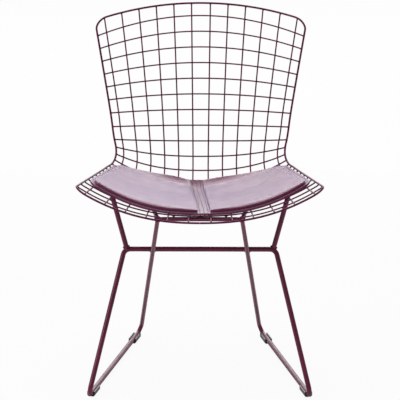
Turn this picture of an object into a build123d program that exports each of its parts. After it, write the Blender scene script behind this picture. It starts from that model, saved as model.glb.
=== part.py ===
"""Side chair of welded steel wire on a bent-rod base, with a thin sewn seat pad.

Millimetres, +Z up, the chair faces -Y. The origin is on the floor, under the middle of the
chair's width and depth.
"""
import os
from math import cos, pi, radians, sin, sqrt, tan

from build123d import *

os.makedirs("parts", exist_ok=True)

# Middle line of the shell, from the front rim to the top rim
rim_height = 432.0  # front rim above the floor
seat_run = 350.0  # front rim to the start of the bend
seat_slope = 9.0  # degrees, falling to the rear
waist_radius = 131.0  # bend between seat and back
back_recline = 16.5  # degrees from upright

# Wire grid: wires across are counted from the front, long wires from the middle
cross_count = 23
cross_pitch = 35.5
front_gap = 32.0  # front rim to the first cross wire
top_gap = 28.5  # last cross wire to the top rim
long_pairs = 6
long_first = 0.087  # share of the half width, middle to the first long wire
long_step = 0.1653  # share of the half width between long wires
long_ease = 0.05  # the long wires stand a little wider toward the middle
wire_dia = 3.2
rim_dia = 4.5
touch = 0.16  # air left between wires and rods that lie on each other
weld_gap = 0.4  # air between a wire's cut end and the rim

# Dish of the shell across its width
waist_half = 189.5  # half width of the shell at its waist
waist_share = 0.58  # place of the waist along the bend
waist_soft = 52.0  # how gently the sides turn outward there
seat_flare = 0.1910  # widening of the seat per unit of length
back_flare = 0.1426
shell_sag = 65.0  # rise of the rim out of the middle line's floor
bow_seat = 2.4  # power of the dish curve over the seat, flat in the middle
bow_loss = 0.4  # loss of that power up to the top rim
bow_soft = 80.0
nose_dip = 10.6  # the middle of the seat rolls down to the front rim
nose_run = 180.0
arch_rate = 0.193  # the cross wires of the back droop toward the sides
arch_start = 25.0  # above the bend
arch_soft = 40.0
top_bow = 14.0  # the top rim droops less than the wires below it
front_corner = 28.0
top_corner = 26.0

# Base of bent round rod
front_rod_dia = 11.0
rear_rod_dia = 9.5
glide_sole = 2.0  # plastic under the runners
front_foot_half = 243.5  # half distance between the front bends
front_foot_back = 45.5  # front bend behind the front rim
rear_foot_half = 137.0
rear_foot_back = 488.0
foot_bend = 14.0
stretcher_half = 166.5
stretcher_height = 297.5  # above the floor
stretcher_bend = 16.0
front_bar_half = 91.0
front_bar_bend = 14.0
joint_back = 56.0  # runner's butt joint in front of the rear bend
strut_share = 0.84  # strut foot under the seat, share of the half width
strut_front = 205.0  # strut foot along the middle line
strut_foot = 95.0
strut_bend = 24.0
rail_share = 0.45
rail_run = 120.0  # rail along the middle line, from the front bar to its end

# Clip-on glides
glide_length = 44.0
glide_wall = 2.6
glide_air = 0.6  # side air between rod and wall
glide_height = 11.5
glide_chamfer = 3.0
front_glide_gap = 30.0  # front bend to the middle of the front glide, past the bend itself
rear_glide_gap = 57.0

# Sewn seat pad
pad_front = 48.0  # front edge along the middle line
front_bow = 45.0  # the front edge sweeps back toward the sides
pad_shoulder = 72.0  # start of the front corners
front_round = 45.0
pad_rear = 418.0
rear_round = 75.0
pad_inset = 7.0  # pad edge inside the shell's side
sheet_thick = 4.5  # base sheet under the puffed panels
pad_flange = 7.5  # base sheet showing outside the panels
band_width = 27.0  # base sheet showing between the panels
band_lean = 0.054  # the band runs a little askew, to the right at the front
band_middle = 234.0  # where it crosses the chair's middle
puff_edge = 6.0  # panel thickness at its outer seams
puff_inner = 4.5  # panel thickness beside the band
puff_crown = 1.2  # extra thickness in the middle of each panel
puff_bulge = 1.0  # side seam rounding
crown_start = 0.8  # share of the crown at the two ends
crown_run = 60.0
rear_fill = 5.0  # more filling toward the rear, where the panels bridge the bend
fill_start = 230.0
fill_full = 360.0
pad_air = 0.6  # between the sewn pieces
pad_rest = 0.7  # between the pad and the wires under it

slope = radians(seat_slope)
back_angle = radians(90 - back_recline)
waist_run = waist_radius * (back_angle + slope)
shell_run = front_gap + (cross_count - 1) * cross_pitch + top_gap
back_run = shell_run - seat_run - waist_run
seat_depth = seat_run * cos(slope)
waist_depth = waist_radius * (sin(back_angle) + sin(slope))
nose_reach = nose_dip * sin(slope)
front_y = (nose_reach - seat_depth - waist_depth - back_run * cos(back_angle)) / 2
bend_y = front_y + seat_depth
bend_z = rim_height - seat_run * sin(slope)
layer = (wire_dia + touch) / 2
cross_places = [front_gap + cross_pitch * i for i in range(cross_count)]


def centre_line(s):
    """Y, Z and heading of the shell's middle line at length s from the front rim."""
    if s < seat_run:
        return front_y + s * cos(slope), rim_height - s * sin(slope), -slope
    heading = min(-slope + (s - seat_run) / waist_radius, back_angle)
    y = bend_y + waist_radius * (sin(heading) + sin(slope))
    z = bend_z + waist_radius * (cos(slope) - cos(heading))
    past = max(s - seat_run - waist_run, 0)
    return y + past * cos(heading), z + past * sin(heading), heading


def ramp(d, soft):
    """Zero below d = 0, rising in proportion above it, with a soft start."""
    return (d + sqrt(d * d + soft * soft)) / 2


def half_width(s):
    d = s - seat_run - waist_share * waist_run
    back = back_flare * (ramp(d, waist_soft) - waist_soft / 2)
    seat = seat_flare * (ramp(-d, waist_soft) - waist_soft / 2)
    return waist_half + back + seat


def dish_rise(u, s):
    """Height of the dish over its middle line."""
    waist = seat_run + waist_share * waist_run
    power = bow_seat - bow_loss * ramp(s - waist, bow_soft) / ramp(shell_run - waist, bow_soft)
    nose = max(nose_run - s, 0) / nose_run
    return shell_sag * abs(u) ** power - nose_dip * nose * nose * (1 - u * u)


def shell_point(u, s):
    """Point of the shell, u from -1 to 1 across it and s along its middle line."""
    y, z, heading = centre_line(s)
    rise = dish_rise(u, s)
    droop = arch_rate * ramp(s - seat_run - waist_run - arch_start, arch_soft) * u * u
    return Vector(
        u * half_width(s),
        y - rise * sin(heading) - droop * cos(heading),
        z + rise * cos(heading) - droop * sin(heading),
    )


def shell_layer(u, s, lift):
    """Point at a height over the shell, on the sitter's side when lift is positive."""
    across = shell_point(u + 0.001, s) - shell_point(u - 0.001, s)
    along = shell_point(u, s + 0.2) - shell_point(u, s - 0.2)
    return shell_point(u, s) + across.cross(along).normalized() * lift


def bent_path(track, stops, nudge):
    """Tangent arcs through a smooth track: two arcs from each stop to the next."""
    for first, last in zip(stops, stops[1:]):
        start, end = track(first), track(last)
        leave = (track(first + nudge) - track(first - nudge)).normalized()
        arrive = (track(last + nudge) - track(last - nudge)).normalized()
        span = end - start
        lean = span.dot(leave + arrive)
        turn = 2 * (1 - leave.dot(arrive))
        reach = span.dot(span) / (lean + sqrt(lean * lean + turn * span.dot(span)))
        knees = (start + leave * reach, end - arrive * reach)
        middle = (knees[0] + knees[1]) * 0.5
        for a, knee, b in ((start, knees[0], middle), (middle, knees[1], end)):
            chord_middle = (a + b) * 0.5
            half_turn_cos = (b - a).length / (2 * reach)
            crest = chord_middle + (knee - chord_middle) * (half_turn_cos / (1 + half_turn_cos))
            if (crest - chord_middle).length < 0.002:
                Line(a, b)
            else:
                ThreePointArc(a, crest, b)


def round_rod(path, diameter):
    """Sweep a round section along a finished path."""
    with BuildSketch(Plane(origin=path @ 0, z_dir=path % 0)) as section:
        Circle(diameter / 2)
    sweep(sections=section.sketch, path=path)


def save(piece, name):
    piece.part.label = name
    export_step(piece.part, f"parts/{name}.step")


# Rim: one heavier rod round the whole shell, butted at the middle of the front
def rim_top(u):
    return shell_run + top_bow * u * u


side_start = front_corner
side_end = rim_top(1) - top_corner
top_edge = 1 - top_corner / half_width(shell_run)
front_edge = 1 - front_corner / half_width(0)


def rim_track(t):
    """Rim from the front middle (0) round one side to the top middle (5) and back (10)."""
    side = -1 if t <= 5 else 1
    t = min(t, 10 - t)
    if t <= 1:
        return shell_point(side * t * front_edge, 0)
    if t <= 2:
        turn = (t - 1) * pi / 2
        s = front_corner * (1 - cos(turn))
        return shell_point(side * (1 - front_corner * (1 - sin(turn)) / half_width(0)), s)
    if t <= 3:
        return shell_point(side, side_start + (t - 2) * (side_end - side_start))
    if t <= 4:
        turn = (4 - t) * pi / 2
        u = 1 - top_corner * (1 - sin(turn)) / half_width(shell_run)
        return shell_point(side * u, rim_top(u) - top_corner * (1 - cos(turn)))
    u = top_edge * (5 - t)
    return shell_point(side * u, rim_top(u))


def rim_time(s):
    return 2 + (s - side_start) / (side_end - side_start)


waist_stops = [seat_run + waist_run * i / 4 for i in range(5)]
seat_stops = [seat_run * i / 6 for i in range(1, 6)]
back_stops = [shell_run - back_run * i / 5 for i in range(4, 0, -1)]
side_times = [rim_time(s) for s in seat_stops + waist_stops + back_stops]
half_times = [0.3, 0.65, 1, 1.5, 2] + side_times + [3, 3.5, 4, 4.5, 5]
butt = touch / half_width(0)

with BuildPart() as rim_rod:
    with BuildLine() as rim_axis:
        turn_back = [10 - t for t in reversed(half_times[:-1])]
        bent_path(rim_track, [butt] + half_times + turn_back + [10 - butt], 0.0004)
    round_rod(rim_axis.line, rim_dia)
save(rim_rod, "rim_rod")


# Long wires: on the sitter's side, from the front rim up to the top rim
rim_clear = rim_dia / 2 + weld_gap


def end_room(share, s, radius):
    """Length a long wire gives up to the rim, more where the corner draws the rim in."""
    into = max(0, radius - (1 - share) * half_width(s))
    fall = sqrt(radius * radius - into * into)
    return radius - fall + (rim_clear * radius + wire_dia / 2 * into) / fall


def long_wire(side, share, name):
    first = end_room(share, 0, front_corner)
    last = rim_top(share) - end_room(share, shell_run, top_corner)
    stops = [first] + seat_stops + waist_stops + back_stops + [last]
    with BuildPart() as wire:
        with BuildLine() as axis:
            bent_path(lambda s: shell_layer(side * share, s, layer), stops, 0.05)
        round_rod(axis.line, wire_dia)
    save(wire, name)


for i in range(long_pairs):
    even = long_first + long_step * i
    share = even + long_ease * even * (1 - even)
    long_wire(-1, share, f"long_wire_left_{i + 1}")
    long_wire(1, share, f"long_wire_right_{i + 1}")


# Cross wires: behind and under the long wires, butted to the rim at both ends
def cross_wire(s, name):
    edge_rate = (shell_point(1, s) - shell_point(0.99, s)).length / 0.01
    reach = 1 - rim_clear / edge_rate
    stops = [reach * share for share in (-1, -0.85, -0.6, -0.3, 0, 0.3, 0.6, 0.85, 1)]
    with BuildPart() as wire:
        with BuildLine() as axis:
            bent_path(lambda u: shell_layer(u, s, -layer), stops, 0.0002)
        round_rod(axis.line, wire_dia)
    save(wire, name)


for i in range(cross_count):
    cross_wire(cross_places[i], f"cross_wire_{i + 1:02d}")


# Base: rear frame, one rod that carries the seat's front edge and runs down to the rear feet
axle_z = glide_sole + front_rod_dia / 2
under_wires = layer + wire_dia / 2 + touch
bar_place = cross_places[1]
bar_seat = shell_layer(0, bar_place, -under_wires - rear_rod_dia / 2)
rear_foot = Vector(rear_foot_half, front_y + rear_foot_back, axle_z)
front_foot = Vector(front_foot_half, front_y + front_foot_back, axle_z)
bar_corner = Vector(front_bar_half, bar_seat.Y, bar_seat.Z)
runner_way = (rear_foot - front_foot).normalized()
runner_joint = rear_foot - runner_way * joint_back


def flip(point):
    return Vector(-point.X, point.Y, point.Z)


with BuildPart() as rear_frame:
    with BuildLine() as rear_axis:
        tail = runner_joint + runner_way * touch
        half = [tail, rear_foot, bar_corner]
        FilletPolyline(
            *half,
            *[flip(p) for p in reversed(half)],
            radius=[foot_bend, front_bar_bend, front_bar_bend, foot_bend],
        )
    round_rod(rear_axis.line, rear_rod_dia)
save(rear_frame, "rear_frame")

# Front frame: runners, front legs and the stretcher that lies behind the rear legs
leg_way = (bar_corner - rear_foot).normalized()
behind_leg = leg_way.cross(Vector(1, 0, 0)).normalized()
stretcher_gap = (front_rod_dia + rear_rod_dia) / 2 + touch
leg_share = (stretcher_height - behind_leg.Z * stretcher_gap - rear_foot.Z) / (bar_corner - rear_foot).Z
leg_meet = rear_foot + (bar_corner - rear_foot) * leg_share + behind_leg * stretcher_gap
stretcher_end = Vector(stretcher_half, leg_meet.Y, leg_meet.Z)

with BuildPart() as front_frame:
    with BuildLine() as front_axis:
        half = [runner_joint, front_foot, stretcher_end]
        FilletPolyline(
            *half,
            *[flip(p) for p in reversed(half)],
            radius=[foot_bend, stretcher_bend, stretcher_bend, foot_bend],
        )
    round_rod(front_axis.line, front_rod_dia)
save(front_frame, "front_frame")


# Struts: from the stretcher's ends up and out, each bent back into a foot under the wires
def strut(side, name):
    under = -under_wires - front_rod_dia / 2
    foot_start = shell_layer(side * strut_share, strut_front, under)
    foot_end = shell_layer(side * strut_share, strut_front + strut_foot, under)
    root = Vector(side * (stretcher_half - stretcher_bend / 3), stretcher_end.Y, stretcher_end.Z)
    with BuildPart() as rod:
        with BuildLine() as axis:
            FilletPolyline(root, foot_start, foot_end, radius=strut_bend)
        round_rod(axis.line, front_rod_dia)
        add(front_frame.part, mode=Mode.SUBTRACT)
    save(rod, name)


strut(-1, "strut_left")
strut(1, "strut_right")


# Rails: short rods from the front bar's corners back under the wires
def rail(side, name):
    under = -under_wires - rear_rod_dia / 2
    start = Vector(side * front_bar_half, bar_corner.Y, bar_corner.Z)
    end = shell_layer(side * rail_share, bar_place + rail_run, under)
    with BuildPart() as rod:
        with BuildLine() as axis:
            Line(start, end)
        round_rod(axis.line, rear_rod_dia)
        add(rear_frame.part, mode=Mode.SUBTRACT)
    save(rod, name)


rail(-1, "rail_left")
rail(1, "rail_right")


# Glides: black plastic saddles clipped over the runners from below
def glide(side, centre, name):
    place = Vector(side * centre.X, centre.Y, 0)
    way = Vector(side * runner_way.X, runner_way.Y, 0)
    bore = front_rod_dia / 2 + glide_air
    half = bore + glide_wall
    with BuildPart() as clip:
        with BuildSketch(Plane(origin=place, x_dir=(-way.Y, way.X, 0), z_dir=way)):
            with BuildLine():
                Polyline(
                    (-half + glide_chamfer, 0),
                    (half - glide_chamfer, 0),
                    (half, glide_chamfer),
                    (half, glide_height),
                    (-half, glide_height),
                    (-half, glide_chamfer),
                    close=True,
                )
            make_face()
            with Locations((0, axle_z)):
                Circle(front_rod_dia / 2 + touch, mode=Mode.SUBTRACT)
            with Locations((0, axle_z + glide_height / 2)):
                Rectangle(2 * bore, glide_height, mode=Mode.SUBTRACT)
        extrude(amount=glide_length / 2, both=True)
    save(clip, name)


front_clip = front_foot + runner_way * (foot_bend + front_glide_gap)
rear_clip = rear_foot - runner_way * rear_glide_gap
glide(-1, front_clip, "glide_front_left")
glide(1, front_clip, "glide_front_right")
glide(-1, rear_clip, "glide_rear_left")
glide(1, rear_clip, "glide_rear_right")


# Pad: a dished base sheet on the long wires, with a puffed panel sewn to each half of it
sheet_lift = layer + wire_dia / 2 + pad_rest
puff_lift = sheet_lift + sheet_thick + pad_air


def dish_place(x, s, lift):
    """Place in the section at s: sideways and out of the middle line, a lift off the shell."""
    share = x / half_width(s)
    grade = (dish_rise(share + 0.001, s) - dish_rise(share - 0.001, s)) / (0.002 * half_width(s))
    scale = lift / sqrt(1 + grade * grade)
    return x - grade * scale, dish_rise(share, s) + scale


def pad_reach(s, trim):
    """Half width of the pad's outline at s, a trim inside its edge."""
    side = half_width(s) - pad_inset - trim
    front_radius = front_round - trim
    rear_radius = rear_round - trim
    front_into = front_radius - min(max(s - pad_shoulder - trim, 0), front_radius)
    rear_into = rear_radius - min(pad_rear - trim - s, rear_radius)
    front = side - front_radius + sqrt(front_radius * front_radius - front_into * front_into)
    rear = side - rear_radius + sqrt(rear_radius * rear_radius - rear_into * rear_into)
    nose = half_width(s) * sqrt((s - pad_front - trim) / front_bow)
    return min(front, rear, nose)


def pad_stations(trim):
    radius = rear_round - trim
    sweep_back = [pad_front + trim + front_bow * share * share for share in (0.25, 0.4, 0.55, 0.7, 0.8, 0.9)]
    corner = [pad_shoulder + front_round * share for share in (0.5, 0.7, 1)]
    first, last = corner[-1], pad_rear - rear_round
    middle = [first + (last - first) * i / 5 for i in range(1, 6)]
    end = [pad_rear - trim - radius * (1 - cos(radians(turn))) for turn in (75, 60, 45, 30, 15, 0)]
    return sweep_back + corner + middle + end


def section_plane(s):
    y, z, heading = centre_line(s)
    return Plane(origin=(0, y, z), x_dir=(1, 0, 0), z_dir=(0, -cos(heading), -sin(heading)))


def arc_chain(points):
    """Arcs through every second point of a list, bent to pass the points between."""
    for i in range(0, len(points) - 2, 2):
        ThreePointArc(points[i], points[i + 1], points[i + 2])


with BuildPart() as pad_base:
    for s in pad_stations(0):
        reach = pad_reach(s, 0)
        places = [reach * share / 4 for share in range(-4, 5)]
        under = [dish_place(x, s, sheet_lift) for x in places]
        over = [dish_place(x, s, sheet_lift + sheet_thick) for x in reversed(places)]
        with BuildSketch(section_plane(s)):
            with BuildLine():
                arc_chain(under)
                Line(under[-1], over[0])
                arc_chain(over)
                Line(over[-1], under[0])
            make_face()
    loft(ruled=True)
save(pad_base, "pad_base")


def puff_fullness(s, first, last):
    """How far the crown has risen at s, from the seams at the two ends to the middle."""
    near = min(s - first, last - s, crown_run) / crown_run
    return crown_start + (1 - crown_start) * sqrt(1 - (1 - near) ** 2)


def rear_filling(s):
    """Extra height of the panels' middle at s, rising smoothly to its full value."""
    rise = min(max((s - fill_start) / (fill_full - fill_start), 0), 1)
    return rear_fill * rise * rise * (3 - 2 * rise)


def pad_puff(side, name):
    stations = pad_stations(pad_flange)
    with BuildPart() as panel:
        for s in stations:
            inner = band_width / 2 + side * band_lean * (band_middle - s)
            outer = pad_reach(s, pad_flange)
            crown = puff_crown * puff_fullness(s, stations[0], stations[-1]) + rear_filling(s)
            under = []
            over = []
            for share in (0, 0.25, 0.5, 0.75, 1):
                x = inner + (outer - inner) * share
                edge = puff_inner + (puff_edge - puff_inner) * min(2 * share, 1)
                thick = edge + crown * (1 - (2 * share - 1) ** 2)
                under.append(dish_place(x, s, puff_lift))
                over.append(dish_place(x, s, puff_lift + thick))
            brow = dish_place(outer + puff_bulge, s, puff_lift + puff_edge / 2)
            under = [(side * a, b) for a, b in under]
            over = [(side * a, b) for a, b in reversed(over)]
            with BuildSketch(section_plane(s)):
                with BuildLine():
                    arc_chain(under)
                    ThreePointArc(under[-1], (side * brow[0], brow[1]), over[0])
                    arc_chain(over)
                    Line(over[-1], under[0])
                make_face()
        loft(ruled=True)
    save(panel, name)


pad_puff(-1, "pad_puff_left")
pad_puff(1, "pad_puff_right")
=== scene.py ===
from math import atan2, cos, exp, hypot, pi, radians, sin, sqrt

import bpy
from mathutils import Matrix, Vector


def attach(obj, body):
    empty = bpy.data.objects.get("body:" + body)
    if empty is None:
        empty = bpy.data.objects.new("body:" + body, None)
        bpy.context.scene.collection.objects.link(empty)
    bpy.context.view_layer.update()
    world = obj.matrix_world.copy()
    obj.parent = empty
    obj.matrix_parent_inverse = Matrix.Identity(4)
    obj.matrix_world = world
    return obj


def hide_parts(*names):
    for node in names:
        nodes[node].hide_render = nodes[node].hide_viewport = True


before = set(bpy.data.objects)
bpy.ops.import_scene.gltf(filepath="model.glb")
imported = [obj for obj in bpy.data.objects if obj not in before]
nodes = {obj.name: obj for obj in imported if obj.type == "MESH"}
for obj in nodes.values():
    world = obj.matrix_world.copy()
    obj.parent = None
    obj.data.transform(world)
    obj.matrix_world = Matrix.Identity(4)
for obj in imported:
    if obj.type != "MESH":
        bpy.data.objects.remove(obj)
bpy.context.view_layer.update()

# Shell: one rim rod round the seat and back, with long wires laid over cross wires inside it.
# Steel wire, bent over a former, welded at every crossing and powder coated satin maroon.
# Its maroon is a shade deeper than the base rods': painted shade, for the shade that falls on the thin
# wires.
shaded_wire_maroon = (0.115, 0.007, 0.050, 1.0)
# pale colour for dust, and partly a painted sheen on the tops of the rods
dust_and_sheen_colour = (0.40, 0.33, 0.36, 1.0)
gloss_tint = (0.95, 0.75, 1.0, 1.0)
wire_gloss = 0.2
wire_peel = 1500.0  # grains of the coat per metre
peel_depth = 0.00012
cloud_grains = 22
cloud_tone = (0.84, 1.16)
handled_grains = 48
coat_polish = (0.24, 0.36)  # roughness where the coat is most and least rubbed
dust_and_sheen_grains = 260
dust_and_sheen_share = 0.06  # cover of dust and painted sheen on a face that looks straight up
dust_and_sheen_slope = (0.2, 1)  # upward share of a face's normal from which the dust and painted sheen begin
noise_span = (0.3, 0.7)  # holds nearly all values of a noise
relief_strength = 0.6


def add_node(tree, kind, **settings):
    node = tree.nodes.new(kind)
    for key, value in settings.items():
        setattr(node, key, value)
    return node


def add_noise(tree, scale, detail):
    """Noise fixed to the piece, so that it stays put from every side."""
    place = add_node(tree, "ShaderNodeTexCoord")
    noise = add_node(tree, "ShaderNodeTexNoise")
    noise.inputs["Scale"].default_value = scale
    noise.inputs["Detail"].default_value = detail
    tree.links.new(place.outputs["Object"], noise.inputs["Vector"])
    return noise


def spread(tree, source, span, result):
    """Value between two limits stretched to two others."""
    stretch = add_node(tree, "ShaderNodeMapRange")
    for socket, value in zip(("From Min", "From Max", "To Min", "To Max"), span + result):
        stretch.inputs[socket].default_value = value
    tree.links.new(source, stretch.inputs["Value"])
    return stretch.outputs["Result"]


def speckle(tree, scale, detail, result, span=noise_span):
    """Noise that runs between two values."""
    return spread(tree, add_noise(tree, scale, detail).outputs["Fac"], span, result)


def times(tree, first, second):
    product = add_node(tree, "ShaderNodeMath", operation="MULTIPLY")
    tree.links.new(first, product.inputs[0])
    tree.links.new(second, product.inputs[1])
    return product.outputs["Value"]


def new_group(name, inputs, outputs):
    """Node group with named sockets, and its two end nodes."""
    group = bpy.data.node_groups.new(name, "ShaderNodeTree")
    for label, kind in inputs:
        group.interface.new_socket(name=label, in_out="INPUT", socket_type=kind)
    for label, kind in outputs:
        group.interface.new_socket(name=label, in_out="OUTPUT", socket_type=kind)
    return group, add_node(group, "NodeGroupInput"), add_node(group, "NodeGroupOutput")


finish_sockets = [
    ("Colour", "NodeSocketColor"),
    ("Roughness", "NodeSocketFloat"),
    ("Height", "NodeSocketFloat"),
]
coat_group, coat_in, coat_out = new_group(
    "powder_coat",
    [("Colour", "NodeSocketColor"), ("Dust And Sheen Colour", "NodeSocketColor"), ("Peel", "NodeSocketFloat")],
    finish_sockets,
)
peel = add_noise(coat_group, wire_peel, 2)
coat_group.links.new(coat_in.outputs["Peel"], peel.inputs["Scale"])
coat_group.links.new(peel.outputs["Fac"], coat_out.inputs["Height"])
tone = add_node(coat_group, "ShaderNodeHueSaturation")
coat_group.links.new(coat_in.outputs["Colour"], tone.inputs["Color"])
coat_group.links.new(speckle(coat_group, cloud_grains, 4, cloud_tone), tone.inputs["Value"])
# Faces that look up take pale flecks: real dust, and partly a painted sheen standing for the light on
# their tops.
facing = add_node(coat_group, "ShaderNodeNewGeometry")
upward = add_node(coat_group, "ShaderNodeSeparateXYZ")
coat_group.links.new(facing.outputs["Normal"], upward.inputs["Vector"])
dust_and_sheen_mask = spread(coat_group, upward.outputs["Z"], dust_and_sheen_slope, (0, dust_and_sheen_share))
dust_and_sheen_flecks = speckle(coat_group, dust_and_sheen_grains, 3, (0.3, 1), span=(0.4, 0.7))
dust_and_sheen_mix = add_node(coat_group, "ShaderNodeMix", data_type="RGBA")
coat_group.links.new(times(coat_group, dust_and_sheen_mask, dust_and_sheen_flecks), dust_and_sheen_mix.inputs["Factor"])
coat_group.links.new(tone.outputs["Color"], dust_and_sheen_mix.inputs["A"])
coat_group.links.new(coat_in.outputs["Dust And Sheen Colour"], dust_and_sheen_mix.inputs["B"])
coat_group.links.new(dust_and_sheen_mix.outputs["Result"], coat_out.inputs["Colour"])
handled = speckle(coat_group, handled_grains, 3, coat_polish)
coat_group.links.new(handled, coat_out.inputs["Roughness"])


def finish_with(name, group, values, depth):
    """Material whose colour, roughness and bump come from a group."""
    material = bpy.data.materials.new(name)
    material.use_nodes = True
    tree = material.node_tree
    shader = tree.nodes["Principled BSDF"]
    pattern = add_node(tree, "ShaderNodeGroup", node_tree=group)
    for socket, value in values.items():
        pattern.inputs[socket].default_value = value
    relief = add_node(tree, "ShaderNodeBump")
    relief.inputs["Strength"].default_value = relief_strength
    relief.inputs["Distance"].default_value = depth
    tree.links.new(pattern.outputs["Colour"], shader.inputs["Base Color"])
    tree.links.new(pattern.outputs["Roughness"], shader.inputs["Roughness"])
    tree.links.new(pattern.outputs["Height"], relief.inputs["Height"])
    tree.links.new(relief.outputs["Normal"], shader.inputs["Normal"])
    return material, shader


coat_values = {"Colour": shaded_wire_maroon, "Dust And Sheen Colour": dust_and_sheen_colour, "Peel": wire_peel}
wire_coat, shader = finish_with("wire_coat", coat_group, coat_values, peel_depth)
shader.inputs["Specular IOR Level"].default_value = wire_gloss
shader.inputs["Specular Tint"].default_value = gloss_tint

cross_count = 23
long_pairs = 6
cross_names = [f"cross_wire_{i + 1:02d}" for i in range(cross_count)]
long_names = [f"long_wire_{side}_{i + 1}" for side in ("left", "right") for i in range(long_pairs)]


def coat_nodes(names, material):
    for name in names:
        nodes[name].data.materials.clear()
        nodes[name].data.materials.append(material)


coat_nodes(["rim_rod"] + cross_names + long_names, wire_coat)

# Shell welds: the small melted swellings where a wire crosses another or butts against the rim.
# Steel, pressed between electrodes, under the same coat as the wires. Lengths here are in mm.
mm = 0.001
rim_height, seat_run, waist_radius = 432.0, 350.0, 131.0
seat_slope, back_angle = radians(9.0), radians(73.5)
cross_pitch, front_gap, top_gap = 35.5, 32.0, 28.5
waist_half, waist_share, waist_soft = 189.5, 0.58, 52.0
seat_flare, back_flare = 0.1910, 0.1426
shell_sag, bow_seat, bow_loss, bow_soft = 65.0, 2.4, 0.4, 80.0
nose_dip, nose_run = 10.6, 180.0
arch_rate, arch_start, arch_soft = 0.193, 25.0, 40.0
top_bow = 14.0
wire_radius, touch = 1.6, 0.16
wire_layer = wire_radius + touch / 2  # wire axis off the shell's own surface
waist_run = waist_radius * (back_angle + seat_slope)
waist_place = seat_run + waist_share * waist_run
shell_run = front_gap + (cross_count - 1) * cross_pitch + top_gap
back_run = shell_run - seat_run - waist_run
seat_depth = seat_run * cos(seat_slope)
waist_depth = waist_radius * (sin(back_angle) + sin(seat_slope))
nose_reach = nose_dip * sin(seat_slope)
front_y = (nose_reach - seat_depth - waist_depth - back_run * cos(back_angle)) / 2
bend_y = front_y + seat_depth
bend_z = rim_height - seat_run * sin(seat_slope)
share_step, run_step = 0.001, 0.2  # small steps across and along, to find a slope


def centre_line(s):
    """Depth, height and heading of the shell's middle line, s along it from the front rim."""
    if s < seat_run:
        return front_y + s * cos(seat_slope), rim_height - s * sin(seat_slope), -seat_slope
    heading = min(-seat_slope + (s - seat_run) / waist_radius, back_angle)
    y = bend_y + waist_radius * (sin(heading) + sin(seat_slope))
    z = bend_z + waist_radius * (cos(seat_slope) - cos(heading))
    past = max(s - seat_run - waist_run, 0)
    return y + past * cos(heading), z + past * sin(heading), heading


def ramp(d, soft):
    return (d + sqrt(d * d + soft * soft)) / 2


def half_width(s):
    d = s - waist_place
    back = back_flare * (ramp(d, waist_soft) - waist_soft / 2)
    seat = seat_flare * (ramp(-d, waist_soft) - waist_soft / 2)
    return waist_half + back + seat


def dish_rise(u, s):
    """Rise of the shell off its middle line at u, a share of the half width."""
    power = bow_seat - bow_loss * ramp(s - waist_place, bow_soft) / ramp(shell_run - waist_place, bow_soft)
    nose = max(nose_run - s, 0) / nose_run
    return shell_sag * abs(u) ** power - nose_dip * nose * nose * (1 - u * u)


def shell_point(u, s):
    y, z, heading = centre_line(s)
    rise = dish_rise(u, s)
    droop = arch_rate * ramp(s - seat_run - waist_run - arch_start, arch_soft) * u * u
    return Vector((
        u * half_width(s),
        y - rise * sin(heading) - droop * cos(heading),
        z + rise * cos(heading) - droop * sin(heading),
    ))


def shell_layer(u, s, lift):
    """Place over the shell and the way out of it, towards the sitter."""
    across = shell_point(u + share_step, s) - shell_point(u - share_step, s)
    along = shell_point(u, s + run_step) - shell_point(u, s - run_step)
    out = across.cross(along).normalized()
    return shell_point(u, s) + out * lift, out


def start_piece():
    bpy.ops.object.select_all(action="DESELECT")


def dress(piece, name, material):
    piece.name = name
    piece.data.name = name
    piece.data.materials.clear()
    piece.data.materials.append(material)
    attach(piece, "root")


def drawn_ball(half_sizes, segments, rings):
    """Ball drawn out to a half size along each of its axes."""
    start_piece()
    bpy.ops.mesh.primitive_uv_sphere_add(segments=segments, ring_count=rings, radius=mm)
    ball = bpy.context.object
    bpy.ops.object.mode_set(mode="EDIT")
    bpy.ops.mesh.select_all(action="SELECT")
    bpy.ops.transform.resize(value=half_sizes)
    bpy.ops.object.mode_set(mode="OBJECT")
    bpy.ops.object.shade_smooth()
    return ball


def join_copies(pattern, places):
    """Copies of one modelled shape, each turned and moved to its place, joined into one piece."""
    copies = []
    for place in places:
        mesh = pattern.data.copy()
        mesh.transform(place)
        copy = bpy.data.objects.new(pattern.name, mesh)
        bpy.context.collection.objects.link(copy)
        copies.append(copy)
    start_piece()
    for copy in copies:
        copy.select_set(True)
    bpy.context.view_layer.objects.active = copies[0]
    bpy.ops.object.join()
    bpy.data.objects.remove(pattern)
    return bpy.context.object


def facing_place(point, out, along=None):
    """Turn and move that stand a shape's Z on a surface, and its X along it where asked."""
    turn = out.to_track_quat("Z", "Y").to_matrix()
    if along is not None:
        side = (along - out * along.dot(out)).normalized()
        turn = Matrix((side, out.cross(side), out)).transposed()
    return Matrix.Translation(point * mm) @ turn.to_4x4()


nugget_radius, nugget_depth = 2.25, 1.5
long_first, long_step, long_ease = 0.087, 0.1653, 0.05  # shares of the half width
weld_reach = 2.9  # from the rim's axis to a butt weld's middle
butt_layer = 0.6 * wire_layer  # butt welds sit a little nearer to the rim's axis than the wires
edge_step = 0.01

right_shares = []
for i in range(long_pairs):
    even = long_first + long_step * i
    right_shares.append(even + long_ease * even * (1 - even))
long_shares = [-share for share in reversed(right_shares)] + right_shares
cross_places = [front_gap + cross_pitch * i for i in range(cross_count)]

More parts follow.
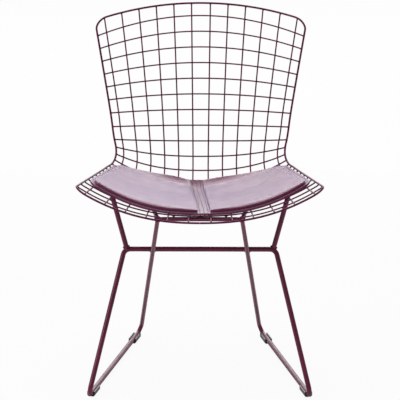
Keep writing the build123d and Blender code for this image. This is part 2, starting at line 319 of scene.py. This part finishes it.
nugget_places = []
for u in long_shares:
    for s in cross_places:
        nugget_places.append(facing_place(*shell_layer(u, s, 0)))
    nugget_places.append(facing_place(*shell_layer(u, weld_reach, butt_layer)))
    top = shell_run + top_bow * u * u - weld_reach
    nugget_places.append(facing_place(*shell_layer(u, top, butt_layer)))
for s in cross_places:
    edge = (shell_point(1, s) - shell_point(1 - edge_step, s)).length / edge_step
    for side in (-1, 1):
        nugget_places.append(facing_place(*shell_layer(side * (1 - weld_reach / edge), s, -butt_layer)))
nugget = drawn_ball((nugget_radius, nugget_radius, nugget_depth), 8, 6)
dress(join_copies(nugget, nugget_places), "shell_welds", wire_coat)

# Base: a front frame of runners, front legs and stretcher, a rear frame of rear legs and seat bar,
# struts and rails. Round steel rod, bent cold, welded together and coated with the shell.
maroon = (0.150, 0.014, 0.046, 1.0)
rod_gloss = 0.5
rod_peel = 900.0
rod_values = {"Colour": maroon, "Dust And Sheen Colour": dust_and_sheen_colour, "Peel": rod_peel}
rod_coat, shader = finish_with("rod_coat", coat_group, rod_values, peel_depth)
shader.inputs["Specular IOR Level"].default_value = rod_gloss
shader.inputs["Specular Tint"].default_value = gloss_tint
base_names = ["front_frame", "rear_frame", "strut_left", "strut_right", "rail_left", "rail_right"]
coat_nodes(base_names, rod_coat)

# Base welds: the ripple beads run round each strut and rail root, and the pads of weld metal
# where the rear legs lie on the stretcher and where the rods carry the wires. Coated with the rods.
front_rod, rear_rod = 5.5, 4.75  # rod radii
axle_z = 7.5  # middle of the runners above the floor
bar_half = 91.0
rear_foot_half, rear_foot_back = 137.0, 488.0
stretcher_half, stretcher_bend, stretcher_height = 166.5, 16.0, 297.5
strut_share, strut_front = 0.84, 205.0
rail_share, rail_run = 0.45, 120.0
bar_place = cross_places[1]
under_wires = wire_layer + wire_radius + touch
bar_middle = shell_layer(0, bar_place, -under_wires - rear_rod)[0]
bar_corner = Vector((bar_half, bar_middle.y, bar_middle.z))
rear_foot = Vector((rear_foot_half, front_y + rear_foot_back, axle_z))
across_way = Vector((1, 0, 0))
rear_leg = bar_corner - rear_foot
behind_leg = rear_leg.normalized().cross(across_way).normalized()
stretcher_gap = front_rod + rear_rod + touch
leg_share = (stretcher_height - behind_leg.z * stretcher_gap - axle_z) / rear_leg.z
leg_cross = rear_foot + rear_leg * leg_share
stretcher_y = (leg_cross + behind_leg * stretcher_gap).y
strut_root = Vector((stretcher_half - stretcher_bend / 3, stretcher_y, stretcher_height))
strut_foot = shell_layer(strut_share, strut_front, -under_wires - front_rod)[0]
rail_end = shell_layer(rail_share, bar_place + rail_run, -under_wires - rear_rod)[0]

bead_thick = 1.7
bead_seat = 0.5  # bead's middle off the rod's skin
ripple, ripple_pairs = 0.28, 7
left_right = (Vector((-1, 1, 1)), Vector((1, 1, 1)))


def root_bead(rod):
    """Weld bead round a rod's cut end, laid into the saddle over a like rod that carries it."""
    ring = rod + bead_seat
    start_piece()
    bpy.ops.mesh.primitive_torus_add(
        major_radius=ring * mm,
        minor_radius=bead_thick * mm,
        major_segments=42,
        minor_segments=10,
    )
    bead = bpy.context.object
    for vertex in bead.data.vertices:
        x, y, z = vertex.co / mm
        round_way = atan2(y, x)
        swell = 1 + ripple * abs(sin(round_way * ripple_pairs))
        out = ring + (hypot(x, y) - ring) * swell
        saddle = sqrt(max(rod * rod - (out * sin(round_way)) ** 2, 0))
        vertex.co = Vector((out * cos(round_way), out * sin(round_way), z * swell + saddle)) * mm
    bpy.ops.object.shade_smooth()
    return bead


def bead_places(root, tip):
    """Turns and moves, left and right, with Z up a rod and X along the rod that carries it."""
    up = (tip - root).normalized()
    return [facing_place(root * flip, up * flip, across_way) for flip in left_right]


strut_beads = join_copies(root_bead(front_rod), bead_places(strut_root, strut_foot))
dress(strut_beads, "strut_beads", rod_coat)
rail_beads = join_copies(root_bead(rear_rod), bead_places(bar_corner, rail_end))
dress(rail_beads, "rail_beads", rod_coat)

leg_weld_size, seat_weld_size = (7.2, 5.6, 2.6), (3.6, 2.9, 1.9)  # half sizes
leg_weld = drawn_ball(leg_weld_size, 20, 12)
leg_meet = leg_cross + behind_leg * (rear_rod + touch / 2)
leg_places = [facing_place(leg_meet * flip, behind_leg * flip, across_way) for flip in left_right]
dress(join_copies(leg_weld, leg_places), "stretcher_welds", rod_coat)

bar_weld_shares = (0.09, 0.22)
rail_weld_share = 0.445
weld_lift = -under_wires + touch / 2
weld_spots = [(strut_share, s) for s in cross_places[5:8]]
weld_spots.append((rail_weld_share, cross_places[4]))
weld_spots += [(share, bar_place) for share in bar_weld_shares]
seat_places = []
for side in (-1, 1):
    for share, s in weld_spots:
        seat_places.append(facing_place(*shell_layer(side * share, s, weld_lift), across_way))
seat_weld = drawn_ball(seat_weld_size, 12, 8)
dress(join_copies(seat_weld, seat_places), "seat_welds", rod_coat)

# Glides: four saddles clipped over the runners from below, so that the chair slides on plastic.
# Black moulded nylon with a fine satin skin and rounded edges, scuffed pale along the sole.
nylon = (0.030, 0.029, 0.031, 1.0)
scuff = (0.16, 0.155, 0.15, 1.0)
sole_band = 0.004
sole_wear = (0.55, 0.04)  # share of scuffs at the sole and above its band
scratch_grains = 420
skin_grains = 2400
skin_depth = 0.0001
skin_strength = 0.5
nylon_polish = (0.24, 0.36)
same_point = 0.00002
edge_rounding = 0.0007
nylon_black = bpy.data.materials.new("nylon_black")
nylon_black.use_nodes = True
tree = nylon_black.node_tree
shader = tree.nodes["Principled BSDF"]
place = add_node(tree, "ShaderNodeTexCoord")
height = add_node(tree, "ShaderNodeSeparateXYZ")
tree.links.new(place.outputs["Object"], height.inputs["Vector"])
low_down = spread(tree, height.outputs["Z"], (0, sole_band), sole_wear)
scratches = speckle(tree, scratch_grains, 5, (0, 1), span=(0.45, 0.7))
worn = add_node(tree, "ShaderNodeMix", data_type="RGBA")
worn.inputs["A"].default_value = nylon
worn.inputs["B"].default_value = scuff
tree.links.new(times(tree, low_down, scratches), worn.inputs["Factor"])
tree.links.new(worn.outputs["Result"], shader.inputs["Base Color"])
skin = add_noise(tree, skin_grains, 2)
tree.links.new(spread(tree, skin.outputs["Fac"], noise_span, nylon_polish), shader.inputs["Roughness"])
relief = add_node(tree, "ShaderNodeBump")
relief.inputs["Strength"].default_value = skin_strength
relief.inputs["Distance"].default_value = skin_depth
tree.links.new(skin.outputs["Fac"], relief.inputs["Height"])
tree.links.new(relief.outputs["Normal"], shader.inputs["Normal"])
glide_names = [f"glide_{end}_{side}" for end in ("front", "rear") for side in ("left", "right")]
coat_nodes(glide_names, nylon_black)
for name in glide_names:
    closed = nodes[name].modifiers.new("closed", "WELD")
    closed.merge_threshold = same_point
    rounded = nodes[name].modifiers.new("rounded", "BEVEL")
    rounded.width = edge_rounding
    rounded.segments = 3
    rounded.limit_method = "ANGLE"

# Pad base: the backing sheet of the seat pad, dished to lie on the long wires, with a turned hem.
# Burgundy leatherette over thin felt. Three rows of stitching run down the band in its middle.
burgundy = (0.180, 0.022, 0.070, 1.0)
hide_pebbles = 620.0  # grains of the cover per metre
grain_depth = 0.00008
pore_grains = 2600
blotch_grains = 16
blotch_tone = (0.88, 1.12)
valley_shade_tone = (0.80, 1)  # painted shade: the grain is darker between its pebbles
rubbed_grains = 34
hide_polish = (0.32, 0.44)
warp_grains, warp_share = 160, 0.006
hide_group, hide_in, hide_out = new_group(
    "leather_grain",
    [("Colour", "NodeSocketColor"), ("Pebbles", "NodeSocketFloat")],
    finish_sockets,
)
hide_place = add_node(hide_group, "ShaderNodeTexCoord")
warp = add_noise(hide_group, warp_grains, 2)
shifted = add_node(hide_group, "ShaderNodeMix", data_type="VECTOR")
shifted.inputs["Factor"].default_value = warp_share
hide_group.links.new(hide_place.outputs["Object"], shifted.inputs["A"])
hide_group.links.new(warp.outputs["Color"], shifted.inputs["B"])
pebble = add_node(hide_group, "ShaderNodeTexVoronoi", feature="DISTANCE_TO_EDGE")
hide_group.links.new(shifted.outputs["Result"], pebble.inputs["Vector"])
hide_group.links.new(hide_in.outputs["Pebbles"], pebble.inputs["Scale"])
raised = spread(hide_group, pebble.outputs["Distance"], (0, 0.35), (0, 1))
pores = speckle(hide_group, pore_grains, 2, (0.7, 1))
hide_group.links.new(times(hide_group, raised, pores), hide_out.inputs["Height"])
blotch = speckle(hide_group, blotch_grains, 4, blotch_tone)
valley_shade = spread(hide_group, raised, (0, 0.5), valley_shade_tone)
hide_tone = add_node(hide_group, "ShaderNodeHueSaturation")
hide_group.links.new(hide_in.outputs["Colour"], hide_tone.inputs["Color"])
hide_group.links.new(times(hide_group, blotch, valley_shade), hide_tone.inputs["Value"])
hide_group.links.new(hide_tone.outputs["Color"], hide_out.inputs["Colour"])
rubbed = speckle(hide_group, rubbed_grains, 3, hide_polish)
hide_group.links.new(rubbed, hide_out.inputs["Roughness"])

hide_values = {"Colour": burgundy, "Pebbles": hide_pebbles}
leatherette, shader = finish_with("leatherette", hide_group, hide_values, grain_depth)
shader.inputs["Specular Tint"].default_value = gloss_tint
shader.inputs["Coat Weight"].default_value = 0.6
shader.inputs["Coat Roughness"].default_value = 0.30
shader.inputs["Sheen Weight"].default_value = 0.8
shader.inputs["Sheen Roughness"].default_value = 0.35
shader.inputs["Sheen Tint"].default_value = (0.72, 0.64, 1.0, 1.0)

pad_front, front_bow, pad_shoulder, front_round = 48.0, 45.0, 72.0, 45.0
pad_rear, rear_round, pad_inset = 418.0, 75.0, 7.0
sheet_thick, pad_rest = 4.5, 0.7
band_half, band_lean, band_middle = 13.5, 0.054, 234.0
sheet_top = wire_layer + wire_radius + pad_rest + sheet_thick
row_pitch = 9.0
stitch_rows = (-row_pitch, 0.0, row_pitch)
row_sink, row_soft, rib_rise = 0.55, 0.55, 0.3
hem_rounding = 0.0011


def pad_reach(s, trim):
    """Half width of the pad's outline at s, a trim inside its edge."""
    side = half_width(s) - pad_inset - trim
    front_radius, rear_radius = front_round - trim, rear_round - trim
    front_into = front_radius - min(max(s - pad_shoulder - trim, 0), front_radius)
    rear_into = rear_radius - min(max(pad_rear - trim - s, 0), rear_radius)
    front = side - front_radius + sqrt(front_radius ** 2 - front_into ** 2)
    rear = side - rear_radius + sqrt(rear_radius ** 2 - rear_into ** 2)
    nose = half_width(s) * sqrt(max(s - pad_front - trim, 0) / front_bow)
    return min(front, rear, nose)


def pad_point(x, s, lift):
    """Place over the dished seat, x across it, s along it, and lift off the shell."""
    share = x / half_width(s)
    climb = dish_rise(share + share_step, s) - dish_rise(share - share_step, s)
    grade = climb / (2 * share_step * half_width(s))
    scale = lift / sqrt(1 + grade * grade)
    y, z, heading = centre_line(s)
    up = dish_rise(share, s) + scale
    return Vector((x - grade * scale, y - up * sin(heading), z + up * cos(heading)))


def band_centre(s):
    return band_lean * (band_middle - s)


def band_sink(x):
    """Depth of the stitched rows below the sheet, with soft ribs between them."""
    if abs(x) > band_half:
        return 0
    rib = -rib_rise * cos(x / row_pitch * 2 * pi) if abs(x) < row_pitch else 0
    row = sum(exp(-((x - place) / row_soft) ** 2) for place in stitch_rows)
    return row_sink * row - max(rib, 0)


row_steps = (-2.6, -1.8, -1.2, -0.7, -0.3, 0, 0.3, 0.7, 1.2, 1.8, 2.6)
band_columns = sorted({place + step for place in stitch_rows for step in row_steps})
band_edge = band_columns[-1]
flange_steps = 40
column_count = len(band_columns) + 2 * flange_steps
nose_start, nose_end = 0.25, 0.92  # shares of the half width between which the front edge sweeps back


def outline_rows(trim, nose_steps, run_steps, rear_steps):
    """Places along the seat that follow the pad's outline, close together where it turns."""
    shares = [nose_start + (nose_end - nose_start) * i / nose_steps for i in range(nose_steps + 1)]
    nose = [pad_front + trim + front_bow * share * share for share in shares]
    last = pad_rear - rear_round
    run = [nose[-1] + (last - nose[-1]) * i / run_steps for i in range(1, run_steps + 1)]
    turns = [pi / 2 * (1 - i / rear_steps) for i in range(1, rear_steps + 1)]
    rear = [pad_rear - trim - (rear_round - trim) * (1 - cos(turn)) for turn in turns]
    return nose + run + rear


row_places = outline_rows(0, 16, 52, 18)

start_piece()
bpy.ops.mesh.primitive_grid_add(
    x_subdivisions=column_count - 1,
    y_subdivisions=len(row_places) - 1,
    size=1,
)
pad_base = bpy.context.object
for index, vertex in enumerate(pad_base.data.vertices):
    s = row_places[index // column_count]
    column = index % column_count
    middle = band_centre(s)
    reach = pad_reach(s, 0)
    sink = 0
    if column < flange_steps:
        x = -reach + (reach - band_edge + middle) * column / flange_steps
    elif column < flange_steps + len(band_columns):
        offset = band_columns[column - flange_steps]
        x = middle + offset
        sink = band_sink(offset)
    else:
        x = reach - (reach - band_edge - middle) * (column_count - 1 - column) / flange_steps
    vertex.co = pad_point(x, s, sheet_top - sink) * mm
pad_base.data.update()
for kind, settings in (
    ("SOLIDIFY", {"thickness": sheet_thick * mm, "offset": -1}),
    ("BEVEL", {"width": hem_rounding, "segments": 3, "limit_method": "ANGLE", "angle_limit": radians(50)}),
):
    modifier = pad_base.modifiers.new(kind.lower(), kind)
    for key, value in settings.items():
        setattr(modifier, key, value)
    bpy.ops.object.modifier_apply(modifier=modifier.name)
bpy.ops.object.shade_smooth_by_angle(angle=radians(40))
dress(pad_base, "seat_pad_base", leatherette)
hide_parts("pad_base")

# Seat panels: the two puffed halves of the pad, each sewn down to the sheet all round.
# Burgundy leatherette over thin foam, nearly level on top, with walls that roll down to the seams.
pad_air = 0.6  # between the sewn pieces
puff_lift = sheet_top + pad_air
pinned_below = 1.6  # height over the sheet up to which the seam holds the cover
swell_limit = 0.9
cover_mesh = 0.0030
filling_steps = 14


def pad_height(point):
    """Height of a point over the shell's own surface."""
    run = Vector((point.y - front_y, point.z - rim_height))
    s = run.dot(Vector((cos(seat_slope), -sin(seat_slope))))
    up = run.dot(Vector((sin(seat_slope), cos(seat_slope))))
    if s > seat_run:
        hub = Vector((bend_y + waist_radius * sin(seat_slope), bend_z + waist_radius * cos(seat_slope)))
        arm = Vector((point.y, point.z)) - hub
        heading = atan2(arm.x, -arm.y)
        s = seat_run + waist_radius * (heading + seat_slope)
        up = waist_radius - arm.length
    return up - dish_rise(point.x / half_width(s), s)


def fill_panel(panel):
    """Foam's push on the cover, with the seam held and the swelling kept small."""
    rest = [vertex.co.copy() for vertex in panel.data.vertices]
    seam = panel.vertex_groups.new(name="seam")
    for index, point in enumerate(rest):
        if pad_height(point / mm) < puff_lift + pinned_below:
            seam.add([index], 1, "REPLACE")
    cloth = panel.modifiers.new("filling", "CLOTH")
    cloth.settings.quality = 6
    cloth.settings.mass = 0.3
    cloth.settings.tension_stiffness = 15
    cloth.settings.compression_stiffness = 15
    cloth.settings.bending_stiffness = 0.5
    cloth.settings.use_pressure = True
    cloth.settings.uniform_pressure_force = 4
    cloth.settings.effector_weights.gravity = 0
    cloth.settings.vertex_group_mass = "seam"
    for step in range(1, filling_steps + 1):
        bpy.context.scene.frame_set(step)
    bpy.ops.object.modifier_apply(modifier="filling")
    bpy.context.scene.frame_set(1)
    for vertex, start in zip(panel.data.vertices, rest):
        move = vertex.co - start
        if move.length > swell_limit * mm:
            vertex.co = start + move.normalized() * swell_limit * mm
    panel.vertex_groups.clear()


def sewn_panel(name, node):
    start_piece()
    panel = bpy.data.objects.new(name, node.data.copy())
    bpy.context.collection.objects.link(panel)
    bpy.context.view_layer.objects.active = panel
    panel.select_set(True)
    bpy.ops.mesh.customdata_custom_splitnormals_clear()
    bpy.ops.object.mode_set(mode="EDIT")
    bpy.ops.mesh.select_all(action="SELECT")
    bpy.ops.mesh.remove_doubles(threshold=same_point)
    bpy.ops.object.mode_set(mode="OBJECT")
    panel.data.remesh_voxel_size = cover_mesh
    bpy.ops.object.voxel_remesh()
    fill_panel(panel)
    finer = panel.modifiers.new("finer", "SUBSURF")
    finer.levels = 1
    finer.render_levels = 1
    bpy.ops.object.modifier_apply(modifier="finer")
    bpy.ops.object.shade_smooth()
    return panel


for side_name in ("left", "right"):
    panel = sewn_panel(f"seat_panel_{side_name}", nodes[f"pad_puff_{side_name}"])
    dress(panel, f"seat_panel_{side_name}", leatherette)
    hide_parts(f"pad_puff_{side_name}")

# Stitching: a twisted polyester thread in the cover's colour, sunk into the band's three rows
# and run round both panels on the flange. Each stitch is one short bowed length of thread.
thread_colour = (0.12, 0.028, 0.055, 1.0)
thread_twists = 2800.0
thread_depth = 0.0001
stitch_pitch, stitch_half, thread_radius = 4.6, 1.75, 0.38
row_start, row_spare = 6.0, 10.0  # first stitch of a row behind the front edge, length left free
row_proud, flange_proud = 0.35, 0.1  # thread's middle over the row's floor and over the flange
flange_row = 4.0  # stitches inside the pad's edge
thread_values = {"Colour": thread_colour, "Pebbles": thread_twists}
thread, shader = finish_with("thread", hide_group, thread_values, thread_depth)
shader.inputs["Sheen Weight"].default_value = 0.3


def stitch_place(x, s, lift, next_x, next_s):
    point = pad_point(x, s, lift)
    along = pad_point(next_x, next_s, lift) - point
    out = pad_point(x, s, lift + 1) - point
    return facing_place(point, out.normalized(), along)


def even_steps(first, last, count):
    """Points from one value towards another, the last left out."""
    return [first + (last - first) * i / count for i in range(count)]


stitch_places = []
band_stitches = int((pad_rear - pad_front - row_spare) / stitch_pitch)
row_lift = sheet_top - row_sink + row_proud
for row in stitch_rows:
    for i in range(band_stitches):
        s = pad_front + row_start + stitch_pitch * i
        x = row + band_centre(s)
        stitch_places.append(stitch_place(x, s, row_lift, x - band_lean, s + 1))
rows = outline_rows(flange_row, 60, 160, 60)
front, rear = rows[0], rows[-1]
for side in (-1, 1):
    front_inner, rear_inner = [side * (band_half + 1) + band_centre(s) for s in (front, rear)]
    front_outer, rear_outer = [side * pad_reach(s, flange_row) for s in (front, rear)]
    line = [(x, front) for x in even_steps(front_inner, front_outer, 40)]
    line += [(side * pad_reach(s, flange_row), s) for s in rows]
    line += [(x, rear) for x in even_steps(rear_outer, rear_inner, 60)[1:] + [rear_inner]]
    gone = 0
    for (x, s), (next_x, next_s) in zip(line, line[1:]):
        gone += hypot(next_x - x, next_s - s)
        if gone > stitch_pitch:
            gone -= stitch_pitch
            stitch_places.append(stitch_place(x, s, sheet_top + flange_proud, next_x, next_s))
stitch = drawn_ball((stitch_half, thread_radius, thread_radius), 6, 6)
dress(join_copies(stitch, stitch_places), "pad_stitches", thread)

# Floor: a plain pale studio floor that runs out to a white surround, with the chair's soft shadow.
# Broad soft lamps hang overhead, behind the chair and at the front left.
floor_white = (0.72, 0.72, 0.72, 1.0)
floor_span = 40
shadow_share = 0.93  # how far the seen floor is lifted to white
mirror_run = (0.3, 1.5)  # behind the chair, where the floor in a gloss goes from dim to white
mirror_share = (0.15, 0.95)
start_piece()
bpy.ops.mesh.primitive_plane_add(size=floor_span)
floor = bpy.context.object
floor.name = "studio_floor"
floor_paint = bpy.data.materials.new("floor_paint")
floor_paint.use_nodes = True
tree = floor_paint.node_tree
shader = tree.nodes["Principled BSDF"]
shader.inputs["Base Color"].default_value = floor_white
shader.inputs["Roughness"].default_value = 0.9
shader.inputs["Specular IOR Level"].default_value = 0.1


def larger(tree, first, second):
    chosen = add_node(tree, "ShaderNodeMath", operation="MAXIMUM")
    tree.links.new(first, chosen.inputs[0])
    tree.links.new(second, chosen.inputs[1])
    return chosen.outputs["Value"]


def seen_ray(tree):
    """One for what the camera sees directly, in a gloss or through something clear."""
    path = add_node(tree, "ShaderNodeLightPath")
    direct = path.outputs["Is Camera Ray"]
    mirrored = larger(tree, path.outputs["Is Glossy Ray"], path.outputs["Is Transmission Ray"])
    return larger(tree, direct, mirrored), direct


seen, direct = seen_ray(tree)
glow = add_node(tree, "ShaderNodeEmission")
glow.inputs["Strength"].default_value = 1.0
floor_place = add_node(tree, "ShaderNodeTexCoord")
floor_split = add_node(tree, "ShaderNodeSeparateXYZ")
tree.links.new(floor_place.outputs["Object"], floor_split.inputs["Vector"])
mirrored = spread(tree, floor_split.outputs["Y"], mirror_run, mirror_share)
lifted = larger(tree, spread(tree, direct, (0, 1), (0, shadow_share)), times(tree, seen, mirrored))
blend = add_node(tree, "ShaderNodeMixShader")
tree.links.new(lifted, blend.inputs["Fac"])
tree.links.new(shader.outputs["BSDF"], blend.inputs[1])
tree.links.new(glow.outputs["Emission"], blend.inputs[2])
tree.links.new(blend.outputs["Shader"], tree.nodes["Material Output"].inputs["Surface"])
floor.data.materials.append(floor_paint)

gloss_way, gloss_levels = (0.1, 0.9), (0.15, 0.9)  # surround in a gloss, brightest to the rear
fill_way, fill_levels = (-0.7, 0.1), (0.40, 0.50)  # its light on the chair, a little dimmer in front
world = bpy.data.worlds.new("studio")
bpy.context.scene.world = world
world.use_nodes = True
tree = world.node_tree
surround = tree.nodes["Background"]
surround.inputs["Color"].default_value = (1, 1, 1, 1)
way = add_node(tree, "ShaderNodeTexCoord")
split = add_node(tree, "ShaderNodeSeparateXYZ")
tree.links.new(way.outputs["Generated"], split.inputs["Vector"])
seen, direct = seen_ray(tree)
indirect = add_node(tree, "ShaderNodeMix", data_type="FLOAT")
tree.links.new(seen, indirect.inputs["Factor"])
tree.links.new(spread(tree, split.outputs["Y"], fill_way, fill_levels), indirect.inputs["A"])
tree.links.new(spread(tree, split.outputs["Y"], gloss_way, gloss_levels), indirect.inputs["B"])
level = add_node(tree, "ShaderNodeMix", data_type="FLOAT")
level.inputs["B"].default_value = 1.0
tree.links.new(direct, level.inputs["Factor"])
tree.links.new(indirect.outputs["Result"], level.inputs["A"])
tree.links.new(level.outputs["Result"], surround.inputs["Strength"])


def soft_lamp(name, place, aim, width, height, watts):
    lamp = bpy.data.lights.new(name, "AREA")
    lamp.shape = "RECTANGLE"
    lamp.size = width
    lamp.size_y = height
    lamp.energy = watts
    holder = bpy.data.objects.new(name, lamp)
    bpy.context.collection.objects.link(holder)
    holder.location = place
    holder.rotation_mode = "QUATERNION"
    holder.rotation_quaternion = (Vector(aim) - Vector(place)).to_track_quat("-Z", "Y")
    holder.visible_camera = False


soft_lamp("overhead_lamp", place=(-0.3, 0.2, 2.9), aim=(0, 0, 0.4), width=2.0, height=2.0, watts=24)
soft_lamp("rear_lamp", place=(0, 3.0, 1.75), aim=(0, 0, 0.5), width=3.4, height=1.9, watts=43)
soft_lamp("side_lamp", place=(-2.4, -1.6, 1.9), aim=(0, 0, 0.4), width=1.3, height=1.3, watts=20)

# Camera: at the photograph's angle, a long lens some seven and a half metres off.
# Its small turn, roll and shift are those of the photograph's own framing.
camera_place = (0.0286, -7.5180, 2.7430)
camera_drop = 0.304069  # radians below the level
camera_turn = radians(0.218)
camera_roll = radians(0.06)
lens_pixels = 3548.8
frame_pixels = 400
eye = bpy.data.cameras.new("photo_camera")
eye.sensor_width = 36
eye.lens = lens_pixels / frame_pixels * eye.sensor_width
eye.shift_x = -0.0007
eye.shift_y = -0.0013
eye.clip_end = 60
photo_camera = bpy.data.objects.new("photo_camera", eye)
bpy.context.collection.objects.link(photo_camera)
photo_camera.location = camera_place
level_way = cos(camera_drop)
ahead = Vector((-sin(camera_turn) * level_way, cos(camera_turn) * level_way, -sin(camera_drop)))
photo_camera.rotation_mode = "QUATERNION"
photo_camera.rotation_quaternion = (
    ahead.to_track_quat("-Z", "Y").to_matrix() @ Matrix.Rotation(camera_roll, 3, "Z")
).to_quaternion()
bpy.context.scene.camera = photo_camera
bpy.context.scene.view_settings.view_transform = "Standard"
